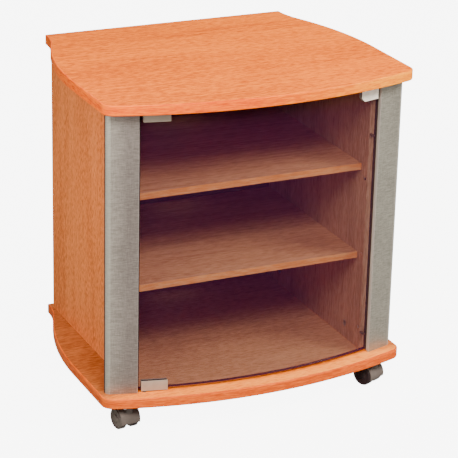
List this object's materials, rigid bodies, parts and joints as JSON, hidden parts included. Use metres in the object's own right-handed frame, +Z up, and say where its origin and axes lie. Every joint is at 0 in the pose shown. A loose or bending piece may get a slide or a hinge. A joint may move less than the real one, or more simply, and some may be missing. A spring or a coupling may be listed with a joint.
{
  "type": "tv cart",
  "caption": "Rolling TV cart: bowed top and bottom boards, loose shelves, silver pilasters, a bowed smoked-glass door on pivots with a touch catch, and twin-wheel casters.",
  "frame": {"origin": "on the floor, under the middle of the overall box", "axes": "+Z up from the floor; -Y to the front, where the door is; +X to the right of someone who looks at the front, the side where the door opens"},
  "size_m": [0.7, 0.575, 0.722],
  "materials": {
    "board": "satin beech laminate",
    "edging": "satin lacquered beech lipping",
    "side_laminate": "satin beech laminate",
    "silver_foil": "brushed silver foil over fibreboard",
    "back_board": "brown hardboard",
    "dowel": "raw beech",
    "smoked_glass": "smoked toughened glass",
    "nickel": "satin nickel plate",
    "zinc": "bright zinc plate",
    "grey_plastic": "satin grey",
    "black_plastic": "matt black",
    "wheel_plastic": "satin dark grey",
    "rubber": "matt"
  },
  "bodies": {
    "cabinet": {"top_panel": "board", "top_edging": "edging", "bottom_panel": "board", "bottom_edging": "edging", "side_panel_left": "side_laminate", "side_panel_right": "side_laminate", "pilaster_left": "silver_foil", "pilaster_right": "silver_foil", "upper_shelf": "board", "lower_shelf": "board", "back_panel": "back_board", "shelf_pins": "zinc", "cam_bolts": "zinc", "cam_locks": "zinc", "dowels": "dowel", "pilaster_screws": "zinc", "back_nails": "zinc", "pivot_bush_top": "black_plastic", "pivot_bush_bottom": "black_plastic", "catch_housing": "black_plastic", "catch_screws": "zinc", "door_bumpers": "rubber", "caster_screws": "zinc", "caster_plate_front_left": "zinc", "caster_plate_front_right": "zinc", "caster_plate_back_left": "zinc", "caster_plate_back_right": "zinc"},
    "door": {"door_glass": "smoked_glass", "hinge_clip_top": "nickel", "hinge_clip_bottom": "nickel", "hinge_liners": "rubber", "hinge_clamp_screws": "zinc", "pivot_pin_top": "zinc", "pivot_pin_bottom": "zinc", "strike_plate": "nickel"},
    "catch_plunger": {"catch_plunger": "zinc"},
    "swivel_front_left": {"caster_hood_front_left": "grey_plastic", "caster_axle_front_left": "zinc"},
    "wheel_front_left_outer": {"wheel_front_left_outer": "wheel_plastic"},
    "wheel_front_left_inner": {"wheel_front_left_inner": "wheel_plastic"},
    "swivel_front_right": {"caster_hood_front_right": "grey_plastic", "caster_axle_front_right": "zinc"},
    "wheel_front_right_outer": {"wheel_front_right_outer": "wheel_plastic"},
    "wheel_front_right_inner": {"wheel_front_right_inner": "wheel_plastic"},
    "swivel_back_left": {"caster_hood_back_left": "grey_plastic", "caster_axle_back_left": "zinc"},
    "wheel_back_left_outer": {"wheel_back_left_outer": "wheel_plastic"},
    "wheel_back_left_inner": {"wheel_back_left_inner": "wheel_plastic"},
    "swivel_back_right": {"caster_hood_back_right": "grey_plastic", "caster_axle_back_right": "zinc"},
    "wheel_back_right_outer": {"wheel_back_right_outer": "wheel_plastic"},
    "wheel_back_right_inner": {"wheel_back_right_inner": "wheel_plastic"}
  },
  "joints": [
    {"name": "door_hinge", "type": "hinge", "parent": "cabinet", "child": "door", "pos_m": [-0.25644, -0.21629, 0.3915], "axis": [0, 0, -1], "range_deg": [0, 105]},
    {"name": "catch_press", "type": "slide", "parent": "cabinet", "child": "catch_plunger", "axis": [-0.2406, 0.9706, 0], "range_m": [0, 0.004], "stiffness_N_per_m": 600},
    {"name": "swivel_front_left", "type": "hinge", "parent": "cabinet", "child": "swivel_front_left", "pos_m": [-0.292, -0.2174, 0.051], "axis": [0, 0, 1], "continuous": true},
    {"name": "wheel_front_left_outer_spin", "type": "hinge", "parent": "swivel_front_left", "child": "wheel_front_left_outer", "pos_m": [-0.29395, -0.20152, 0.024], "axis": [-0.9925, -0.1219, 0], "continuous": true},
    {"name": "wheel_front_left_inner_spin", "type": "hinge", "parent": "swivel_front_left", "child": "wheel_front_left_inner", "pos_m": [-0.29395, -0.20152, 0.024], "axis": [-0.9925, -0.1219, 0], "continuous": true},
    {"name": "swivel_front_right", "type": "hinge", "parent": "cabinet", "child": "swivel_front_right", "pos_m": [0.292, -0.2174, 0.051], "axis": [0, 0, 1], "continuous": true},
    {"name": "wheel_front_right_outer_spin", "type": "hinge", "parent": "swivel_front_right", "child": "wheel_front_right_outer", "pos_m": [0.28549, -0.20279, 0.024], "axis": [-0.9135, -0.4067, 0], "continuous": true},
    {"name": "wheel_front_right_inner_spin", "type": "hinge", "parent": "swivel_front_right", "child": "wheel_front_right_inner", "pos_m": [0.28549, -0.20279, 0.024], "axis": [-0.9135, -0.4067, 0], "continuous": true},
    {"name": "swivel_back_left", "type": "hinge", "parent": "cabinet", "child": "swivel_back_left", "pos_m": [-0.251, 0.2375, 0.051], "axis": [0, 0, 1], "continuous": true},
    {"name": "wheel_back_left_outer_spin", "type": "hinge", "parent": "swivel_back_left", "child": "wheel_back_left_outer", "pos_m": [-0.24767, 0.25315, 0.024], "axis": [-0.9781, 0.2079, 0], "continuous": true},
    {"name": "wheel_back_left_inner_spin", "type": "hinge", "parent": "swivel_back_left", "child": "wheel_back_left_inner", "pos_m": [-0.24767, 0.25315, 0.024], "axis": [-0.9781, 0.2079, 0], "continuous": true},
    {"name": "swivel_back_right", "type": "hinge", "parent": "cabinet", "child": "swivel_back_right", "pos_m": [0.251, 0.2375, 0.051], "axis": [0, 0, 1], "continuous": true},
    {"name": "wheel_back_right_outer_spin", "type": "hinge", "parent": "swivel_back_right", "child": "wheel_back_right_outer", "pos_m": [0.24905, 0.25338, 0.024], "axis": [-0.9925, -0.1219, 0], "continuous": true},
    {"name": "wheel_back_right_inner_spin", "type": "hinge", "parent": "swivel_back_right", "child": "wheel_back_right_inner", "pos_m": [0.24905, 0.25338, 0.024], "axis": [-0.9925, -0.1219, 0], "continuous": true}
  ]
}
